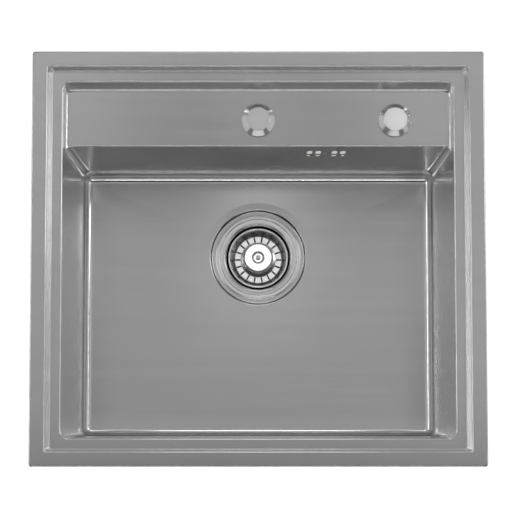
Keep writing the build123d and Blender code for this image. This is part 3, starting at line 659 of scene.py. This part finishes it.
def box_piece(low, high):
    """A plain block used to cut a piece."""
    corners = np.array([low, high], float)
    x, y, z = np.meshgrid([0, 1], [0, 1], [0, 1], indexing="ij")
    points = np.stack([corners[x, 0], corners[y, 1], corners[z, 2]], axis=-1).reshape(-1, 3)
    faces = [(0, 1, 3, 2), (4, 6, 7, 5), (0, 4, 5, 1), (2, 3, 7, 6), (0, 2, 6, 4), (1, 5, 7, 3)]
    mesh = bpy.data.meshes.new("cutter")
    mesh.from_pydata(points, [], faces)
    return tidy(mesh, "cutter")


def rod(ring, shift):
    """A solid with the same outline at both ends: a ring of points and its copy, moved."""
    ring = np.asarray(ring, float)
    count = len(ring)
    near = np.arange(count)
    far = near + count
    sides = np.stack([near, np.roll(near, -1), np.roll(far, -1), far], axis=1)
    faces = [*sides.tolist(), near[::-1].tolist(), far.tolist()]
    mesh = bpy.data.meshes.new("cutter")
    mesh.from_pydata(np.vstack([ring, ring + np.array(shift)]), [], faces)
    return tidy(mesh, "cutter")


def joined(pieces):
    """Put several meshes into the first one."""
    work = bmesh.new()
    for piece in pieces:
        work.from_mesh(piece.data)
    work.to_mesh(pieces[0].data)
    work.free()
    for piece in pieces[1:]:
        bpy.data.objects.remove(piece)
    return pieces[0]


def cut(piece, cutters):
    """Take the cutters away from a piece for good."""
    cutter = joined(cutters)
    change = piece.modifiers.new("cut", "BOOLEAN")
    change.operation = "DIFFERENCE"
    change.solver = "EXACT"
    change.object = cutter
    ready = piece.evaluated_get(bpy.context.evaluated_depsgraph_get())
    mesh = bpy.data.meshes.new_from_object(ready)
    piece.modifiers.clear()
    piece.data = mesh
    bpy.data.objects.remove(cutter)
    return piece


def mark_bends(mesh):
    """Write the attribute for smoother bends with a painted highlight, which is 1 on the faces across
    a bend or an edge.

    These are the narrow faces that aren't level. A face's width is its area over its longest side,
    doubled for a triangle.
    """
    def read(owner, key, width=1, kind=float):
        """One measure of all of a mesh's points, edges, loops or faces."""
        values = np.empty(len(owner) * width, kind)
        owner.foreach_get(key, values)
        return values.reshape(-1, width) if width > 1 else values

    places = read(mesh.vertices, "co", 3)
    ends = places[read(mesh.edges, "vertices", 2, np.int32)]
    edge_lengths = np.linalg.norm(ends[:, 0] - ends[:, 1], axis=1)
    lengths = edge_lengths[read(mesh.loops, "edge_index", 1, np.int32)]
    longest = np.maximum.reduceat(lengths, read(mesh.polygons, "loop_start", 1, np.int32))
    corners = read(mesh.polygons, "loop_total", 1, np.int32)
    width = read(mesh.polygons, "area") / longest * np.where(corners == 3, 2, 1)
    level = np.abs(read(mesh.polygons, "normal", 3)[:, 2]) > 0.99
    polish_and_sheen = mesh.attributes.new("polish_and_sheen", "FLOAT", "FACE")
    polish_and_sheen.data.foreach_set("value", np.where((width < BEND_FACE) & ~level, 1.0, 0.0))


def dress(piece, finish, node, body="sink"):
    """Give a piece its finish and its place in the frame. It stands for the CAD node."""
    if finish == "satin_steel":
        mark_bends(piece.data)
    piece.data.materials.clear()
    piece.data.materials.append(finish_of(finish))
    piece.data.shade_smooth()
    piece.data.set_sharp_from_angle(angle=math.radians(SHARP))
    weighted = piece.modifiers.new("even_faces", "WEIGHTED_NORMAL")
    weighted.mode = "FACE_AREA"
    weighted.weight = 100
    weighted.keep_sharp = True
    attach(piece, body)
    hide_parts(node)
    return piece


def smoothed(node, finish, body="sink"):
    """A copy of a CAD node with its loose triangles joined, so that its bends shade smoothly."""
    mesh = nodes[node].data.copy()
    work = bmesh.new()
    work.from_mesh(mesh)
    bmesh.ops.remove_doubles(work, verts=work.verts, dist=MERGED)
    work.to_mesh(mesh)
    work.free()
    piece = bpy.data.objects.new(f"{node}_skin", mesh)
    bpy.context.scene.collection.objects.link(piece)
    return dress(piece, finish, node, body)


# Steel body


def deck_rings():
    """The pressed rim: its section is carried round outlines that shrink towards the bowl.

    The section runs up the lip, over the rim, down the riser, over the ledge and down the skirt, and
    comes back below at a sheet's thickness. Bends are tangent arcs.
    """
    half_x, half_y = deck_high.x, deck_high.y
    inner_x, inner_y = BOWL_LENGTH / 2, OPENING_DEPTH / 2
    sections = []
    for half, inner, run in ((half_x, inner_x, RISER_RUN[0]), (half_y, inner_y, RISER_RUN[1])):
        line = [
            (half, LIP_GAP),
            (half, RIM_Z),
            (half - RIM_FLAT, RIM_Z),
            (half - RIM_FLAT - run, LEDGE_Z),
            (inner, LEDGE_Z),
            (inner, SKIRT_Z),
        ]
        radii = [BEND, BEND, BEND - SHEET, BEND]
        sections.append(flesh(rounded_line(line, radii, settings()[1].bend_spans), SHEET))
    inset = half_x - sections[0][:, 0]
    # How far in from the edge, and the radius of the corners there
    corners = np.array([
        (0, RIM_CORNER),
        (RIM_FLAT * 0.5, RIM_CORNER - BEND),
        (RIM_FLAT, RISER_CORNER),
        (RIM_FLAT + RISER_RUN[0] + BEND, RISER_CORNER),
        (half_x - inner_x - BEND, BOWL_CORNER + BEND),
        (half_x - inner_x, BOWL_CORNER),
    ])
    radius = np.interp(inset, corners[:, 0], corners[:, 1])
    rings = []
    for (x, x_height), (y, y_height), size in zip(sections[0], sections[1], radius):
        rings.append(outline(x, y, size, (x_height, y_height)))
    return rings


def bowl_rings():
    """The bowl's shell: down the wall, over the bottom bend and floor to the waste, and back below.

    The bend is a quarter circle, whose rings draw in as they go down. Inside, the floor falls from
    its bends to the waste in four planes that meet in faint creases.
    """
    middle = (BOWL_BACK + BOWL_FRONT) / 2
    half_x, half_y = BOWL_LENGTH / 2, (BOWL_BACK - BOWL_FRONT) / 2
    spans = settings()[1].bend_spans

    def shell(grow, rise):
        """One face of the sheet, set out by grow, with its floor's edge raised by rise."""
        radius = BOWL_FILLET + grow
        rings = [outline(half_x + grow, half_y + grow, BOWL_CORNER + grow, SKIRT_Z, middle)]
        turn = np.linspace(0, np.pi / 2, spans + 3)
        insets = radius * (1 - np.cos(turn))
        heights = FLOOR_Z + rise - grow + radius * (1 - np.sin(turn))
        for inset, height in zip(insets, heights):
            corner = max(BOWL_CORNER + grow - inset, LEAST_CORNER)
            rings.append(outline(half_x + grow - inset, half_y + grow - inset, corner, height, middle))
        edge = rings[-1]
        recess = rounded_line(
            [
                (RECESS_RADIUS + 8 * MM, FLOOR_Z - grow),
                (RECESS_RADIUS - 1.2 * MM, FLOOR_Z - grow),
                (RECESS_FLAT + 0.6 * MM, FLOOR_Z - RECESS_DROP - grow),
                (DRAIN_HOLE, FLOOR_Z - RECESS_DROP - grow),
            ],
            [RECESS_BEND + grow, RECESS_BEND - grow * 0.6],
        )
        near = circle_towards(edge, DRAIN, recess[0][0], FLOOR_Z - grow)
        rings += [edge + share * (near - edge) for share in FLOOR_SHARES]
        rings += [circle_towards(edge, DRAIN, radius, height) for radius, height in recess]
        return rings

    return shell(0.0, settings()[1].floor_fall) + shell(SHEET, 0.0)[::-1]


def slot_ring(x, z, y):
    """One overflow slot, upright in the back wall: two half circles with straight sides between."""
    half_width, half_height = SLOT_SIZE[0] / 2, SLOT_SIZE[1] / 2
    straight = half_height - half_width
    top = arc((x, z + straight), half_width, 0, 180, 10)
    foot = arc((x, z - straight), half_width, 180, 360, 10)
    flat = np.vstack([top, foot])
    return np.stack([flat[:, 0], np.full(len(flat), y), flat[:, 1]], axis=1)


class SINK_OT_body(bpy.types.Operator):
    """Make the rim, the tap shelf and the bowl"""

    bl_idname = "sink.body"
    bl_label = "Steel body"

    def execute(self, context):
        dress(skin("rim_and_ledge", deck_rings()), "satin_steel", "deck_frame")
        bowl = skin("bowl_shell", bowl_rings())
        above = box_piece(
            (-BOWL_LENGTH, SHELF_JOINT_Y, SHELF_FLANGE_Z),
            (BOWL_LENGTH, BOWL_BACK + 20 * MM, SKIRT_Z + 20 * MM),
        )
        ahead = 3 * MM
        through = (0, 3 * SHEET + ahead, 0)
        slots = [rod(slot_ring(x, SLOT_Z, BOWL_BACK - ahead), through) for x in SLOT_X]
        cut(bowl, [above] + slots)
        dress(bowl, "satin_steel", "bowl")
        smoothed("tap_shelf", "satin_steel")
        smoothed("rim_seal", "seal_foam")
        return {"FINISHED"}


# Strainer. Each section is straight runs with tangent arcs at the bends


def cup_profile():
    """Flange with its raised outer zone, rounded shoulder, upright wall and flat bottom."""
    seat = cup_high.z - 2.1 * MM
    raised = seat + 1.1 * MM
    floor = cup_low.z
    wall = 44.9 * MM
    line = [
        (57.4 * MM, seat),
        (57.0 * MM, raised),
        (53.2 * MM, raised),
        (52.2 * MM, seat),
        (wall, seat - 0.4 * MM),
        (wall - 0.6 * MM, floor),
        (5.0 * MM, floor),
    ]
    radii = [0.5 * MM, 0.6 * MM, 0.6 * MM, 2.2 * MM, 6 * MM]
    return flesh(rounded_line(line, radii), -CUP_SHEET)


def basket_profile():
    """Rolled lip, sloping wall and flat floor of the basket."""
    lip = basket_high.z
    floor = basket_low.z
    hub = floor + 1.6 * MM
    line = [
        (41.3 * MM, lip - 2.6 * MM),
        (41.3 * MM, lip - BASKET_SHEET),
        (38.6 * MM, lip - BASKET_SHEET),
        (35.4 * MM, floor + 5.0 * MM),
        (32.8 * MM, floor),
        (24.4 * MM, floor),
        (19.5 * MM, hub),
        (4.0 * MM, hub),
    ]
    radii = [0.9 * MM, 1.2 * MM, 3 * MM, 1.6 * MM, 1 * MM, 1 * MM]
    return flesh(rounded_line(line, radii), BASKET_SHEET)


def knob_profile():
    """Turned knob: rolled rim, cone, flat bright face and a dimple."""
    top = knob_high.z
    foot = knob_low.z
    outer = rounded_line(
        [
            (19.4 * MM, foot),
            (KNOB_RADIUS, foot),
            (KNOB_RADIUS, foot + 2.2 * MM),
            (18.7 * MM, top),
            (8.6 * MM, top),
            (6.2 * MM, top - 2.2 * MM),
            (KNOB_BORE, top - 2.2 * MM),
        ],
        [0.5 * MM, 1.0 * MM, 1.0 * MM, 0.8 * MM, 1.2 * MM],
        8,
    )
    under = [
        (KNOB_BORE, foot + 1.5 * MM),
        (6 * MM, foot + 1.5 * MM),
        (6 * MM, top - 5 * MM),
        (15 * MM, top - 3 * MM),
    ]
    return np.vstack([outer, under])


def dome_profile(radius, foot, height, edge=0.3):
    """A low screw head: a straight edge, for a share of the height, then a quarter of an ellipse."""
    rise = height * (1 - edge)
    curve = np.radians(np.linspace(0, 90, 9))
    top = np.stack([radius * np.cos(curve), foot + height * edge + rise * np.sin(curve)], axis=1)
    top[-1, 0] = 0
    return np.vstack([[(0, foot), (radius, foot)], top])


def flat_ring(centre, radius, height, spans=24):
    """A level circle of points."""
    flat = arc(centre, radius, 0, 360, spans)[:-1]
    return np.c_[flat, np.full(spans, height)]


def turned(name, profile, centre, spans=None):
    """An object made by turning a profile about an upright axis."""
    return skin(name, spun(profile, centre, spans or settings()[1].turn_spans))


class SINK_OT_strainer(bpy.types.Operator):
    """Make the strainer cup and the basket with its knob"""

    bl_idname = "sink.strainer"
    bl_label = "Strainer"

    def execute(self, context):
        cup = turned("strainer_bowl", cup_profile(), DRAIN)
        holes = []
        for turn in even_turns(CUP_HOLES):
            place = (
                DRAIN[0] + CUP_HOLE_CIRCLE * math.cos(turn),
                DRAIN[1] + CUP_HOLE_CIRCLE * math.sin(turn),
            )
            start = flat_ring(place, CUP_HOLE_RADIUS, cup_low.z - 1 * MM)
            holes.append(rod(start, (0, 0, 4 * MM)))
        dress(cut(cup, holes), "polished_steel", "strainer_cup")
        basket = turned("basket_cup", basket_profile(), DRAIN)
        slots = []
        near, far = BASKET_SLOT_ENDS
        flat = np.vstack([
            arc((near, 0), BASKET_SLOT_RADIUS, 90, 270, 6),
            arc((far, 0), BASKET_SLOT_RADIUS, -90, 90, 6),
        ])
        for turn in even_turns(BASKET_SLOTS):
            spin = np.array([[math.cos(turn), math.sin(turn)], [-math.sin(turn), math.cos(turn)]])
            place = flat @ spin + np.array(DRAIN)
            start = np.c_[place, np.full(len(place), basket_low.z - 2 * MM)]
            slots.append(rod(start, (0, 0, 14 * MM)))
        dress(cut(basket, slots), "basket_steel", "basket", "basket")
        dress(turned("knob_shell", knob_profile(), DRAIN), "chrome", "basket_knob", "basket")
        screw_low, screw_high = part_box("knob_screw")
        head_radius, head_height = SCREW_HEAD
        neck = screw_high.z - head_height
        head = dome_profile(head_radius, neck, head_height)
        stem = np.array([(0, screw_low.z), (KNOB_BORE, screw_low.z), (KNOB_BORE, neck)])
        screw = turned("knob_screw_turned", np.vstack([stem, head[1:]]), DRAIN, SCREW_SPANS)
        dress(screw, "chrome", "knob_screw", "basket")
        smoothed("basket_seal", "black_rubber", "basket")
        smoothed("basket_post", "chrome", "basket")
        smoothed("centre_screw", "chrome")
        smoothed("flange_gasket", "black_rubber")
        smoothed("lower_gasket", "black_rubber")
        return {"FINISHED"}


# Covers over the tap holes


def cover_profile(low, high):
    """Short rim, bevel and level face of a cover between two heights, hollow below round a hub.

    Straight runs with tangent arcs at the bends.
    """
    outer = rounded_line(
        [
            (19.3 * MM, low),
            (COVER_RADIUS, low),
            (COVER_RADIUS, low + 1.4 * MM),
            (COVER_FACE, high),
            (0.0, high),
        ],
        [0.2 * MM, 0.8 * MM, 0.7 * MM],
    )
    under = [
        (0.0, high - 5 * MM),
        (4 * MM, high - 5 * MM),
        (4 * MM, high - 1 * MM),
        (13.8 * MM, high - 1 * MM),
    ]
    return np.vstack([outer, under])


class SINK_OT_covers(bpy.types.Operator):
    """Make the two covers with what holds them in their holes"""

    bl_idname = "sink.covers"
    bl_label = "Hole covers"

    def execute(self, context):
        for prefix in ("tap_hole", "side_hole"):
            low, high = cover_boxes[f"{prefix}_cover"]
            centre = ((low.x + high.x) / 2, (low.y + high.y) / 2)
            body = f"{prefix}_cap"
            cover = turned(f"{prefix}_cover_cap", cover_profile(low.z, high.z), centre)
            dress(cover, "brushed_cap", f"{prefix}_cover", body)
            smoothed(f"{prefix}_gasket", "black_rubber", body)
            smoothed(f"{prefix}_plug", "black_plastic", body)
            smoothed(f"{prefix}_grip_ring", "black_rubber", body)
            smoothed(f"{prefix}_screw", "zinc_plated_steel", body)
        return {"FINISHED"}


# Waste, overflow, clamps and pads below the sink


class SINK_OT_waste(bpy.types.Operator):
    """Make the waste body and the overflow behind the bowl"""

    bl_idname = "sink.waste"
    bl_label = "Waste and overflow"

    def execute(self, context):
        smoothed("waste_body", "black_plastic")
        smoothed("waste_insert", "brass")
        smoothed("overflow_housing", "pale_plastic")
        smoothed("overflow_gasket", "black_rubber")
        smoothed("overflow_screw", "zinc_plated_steel")
        smoothed("overflow_pipe", "black_plastic")
        for end in ("upper", "lower"):
            smoothed(f"{end}_pipe_nut", "black_plastic")
            smoothed(f"{end}_pipe_washer", "black_rubber")
        return {"FINISHED"}


class SINK_OT_fixings(bpy.types.Operator):
    """Make the clamps under the ledge and the pads on the bowl"""

    bl_idname = "sink.fixings"
    bl_label = "Clamps and pads"

    def execute(self, context):
        smoothed("clamp_brackets", "zinc_plated_steel")
        smoothed("clamp_screws", "zinc_plated_steel")
        for number in range(1, 9):
            smoothed(f"clamp_arm_{number}", "zinc_plated_steel", f"clamp_{number}")
        for pad in ("side_pads", "front_pad", "floor_pad"):
            smoothed(pad, "sound_pad")
        return {"FINISHED"}


# Stage


def softbox(name, place, aim, size, power):
    """A rectangular lamp that faces a point."""
    lamp = bpy.data.lights.new(name, "AREA")
    lamp.shape = "RECTANGLE"
    lamp.size, lamp.size_y = size
    lamp.energy = power
    holder = bpy.data.objects.new(name, lamp)
    holder.location = place
    away = holder.location - Vector(aim)
    holder.rotation_euler = away.to_track_quat("Z", "Y").to_euler()
    holder.visible_camera = False
    bpy.context.scene.collection.objects.link(holder)


def mirrored(node, eye, height):
    """Where a lamp hangs that a node's level top shows to the camera.

    The line from the camera is turned up at the middle of the top, and followed to the height.
    """
    low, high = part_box(node)
    middle = np.array([(low.x + high.x) / 2, (low.y + high.y) / 2])
    reach = (height - high.z) / (eye[2] - high.z)
    return (*(middle + (middle - np.array(eye[:2])) * reach), height)


def studio():
    """A world that is pale at the horizon and dark overhead, where the lamps hang."""
    world = bpy.data.worlds.new("studio")
    world.use_nodes = True
    tree = world.node_tree
    place = tree.nodes.new("ShaderNodeTexCoord")
    height = tree.nodes.new("ShaderNodeSeparateXYZ")
    ramp = tree.nodes.new("ShaderNodeValToRGB")
    stops = ramp.color_ramp.elements
    while len(stops) < len(STUDIO_GREYS):
        stops.new(0.5)
    for stop, (position, grey) in zip(stops, STUDIO_GREYS):
        stop.position = position
        stop.color = (grey, grey, grey, 1)
    tree.links.new(place.outputs["Generated"], height.inputs[0])
    tree.links.new(height.outputs["Z"], ramp.inputs[0])
    tree.links.new(ramp.outputs[0], tree.nodes["Background"].inputs[0])
    return world


class SINK_OT_stage(bpy.types.Operator):
    """Set the floor, the lamps and the camera"""

    bl_idname = "sink.stage"
    bl_label = "Stage"

    def execute(self, context):
        scene = context.scene
        stage = settings()[2]
        floor_z = outlet_low.z - FLOOR_GAP
        half = FLOOR_HALF
        square = ((-half, -half), (half, -half), (half, half), (-half, half))
        levels = (floor_z, floor_z - FLOOR_DEPTH)
        floor = skin("floor", [[(x, y, level) for x, y in square] for level in levels], False)
        work = bmesh.new()
        work.from_mesh(floor.data)
        bmesh.ops.holes_fill(work, edges=work.edges)
        bmesh.ops.recalc_face_normals(work, faces=work.faces)
        work.to_mesh(floor.data)
        work.free()
        pale = Finish("floor_paper", (0.3, 0.3, 0.3), 0.0, 0.8)
        radius = (pale.axis("X") ** 2 + pale.axis("Y") ** 2) ** 0.5
        fade = {"Value": radius, "From Min": FLOOR_FADE[0], "From Max": FLOOR_FADE[1]}
        far = pale.node("ShaderNodeMapRange", {"interpolation_type": "SMOOTHSTEP"}, fade)
        glow = pale.blend(far, (1, 1, 1), (FLOOR_FAR, FLOOR_FAR, FLOOR_FAR))
        pale.tree.links.new(glow.socket, pale.shader.inputs["Emission Color"])
        pale.shader.inputs["Emission Strength"].default_value = 1.0
        floor.data.materials.append(pale.material)

        scene.world = studio()
        for lamp in RIG:
            softbox(*lamp)
        stand = (stage.eye_x, stage.eye_y, RIM_Z + stage.eye_height)
        for name, node, side, watts in GLINTS:
            place = mirrored(node, stand, GLINT_HEIGHT)
            softbox(name, place, (place[0], place[1], 0), (side, side), watts)

        lens = bpy.data.cameras.new("camera")
        lens.lens = stage.lens
        eye = bpy.data.objects.new("camera", lens)
        eye.location = stand
        eye.rotation_euler = (stage.lean, 0, 0)
        lens.shift_x = stage.slide
        lens.shift_y = stage.rise
        lens.clip_end = VIEW_END
        scene.collection.objects.link(eye)
        scene.camera = eye
        scene.view_settings.view_transform = "Standard"
        return {"FINISHED"}


class SINK_PT_panel(bpy.types.Panel):
    """Buttons and settings in the 3D view's sidebar"""

    bl_label = "Inset sink"
    bl_space_type = "VIEW_3D"
    bl_region_type = "UI"
    bl_category = "Sink"

    def draw(self, context):
        for group in ("sink_finish", "sink_detail", "sink_stage"):
            owner = getattr(context.scene, group)
            for name in owner.__annotations__:
                self.layout.prop(owner, name)
        for operator in OPERATORS:
            self.layout.operator(operator.bl_idname)


OPERATORS = (
    SINK_OT_body, SINK_OT_strainer, SINK_OT_covers, SINK_OT_waste, SINK_OT_fixings, SINK_OT_stage,
)
GROUPS = {"sink_finish": SinkFinish, "sink_detail": SinkDetail, "sink_stage": SinkStage}


def register():
    """Add the settings, the operators and the panel."""
    for group in GROUPS.values():
        bpy.utils.register_class(group)
    for name, group in GROUPS.items():
        setattr(bpy.types.Scene, name, PointerProperty(type=group))
    for operator in OPERATORS:
        bpy.utils.register_class(operator)
    bpy.utils.register_class(SINK_PT_panel)


def unregister():
    """Take them away again, in reverse."""
    bpy.utils.unregister_class(SINK_PT_panel)
    for operator in reversed(OPERATORS):
        bpy.utils.unregister_class(operator)
    for name, group in GROUPS.items():
        delattr(bpy.types.Scene, name)
        bpy.utils.unregister_class(group)


def main():
    """Build everything in order."""
    register()
    steps = bpy.ops.sink
    for step in (steps.body, steps.strainer, steps.covers, steps.waste, steps.fixings, steps.stage):
        step()


if __name__ == "__main__":
    main()
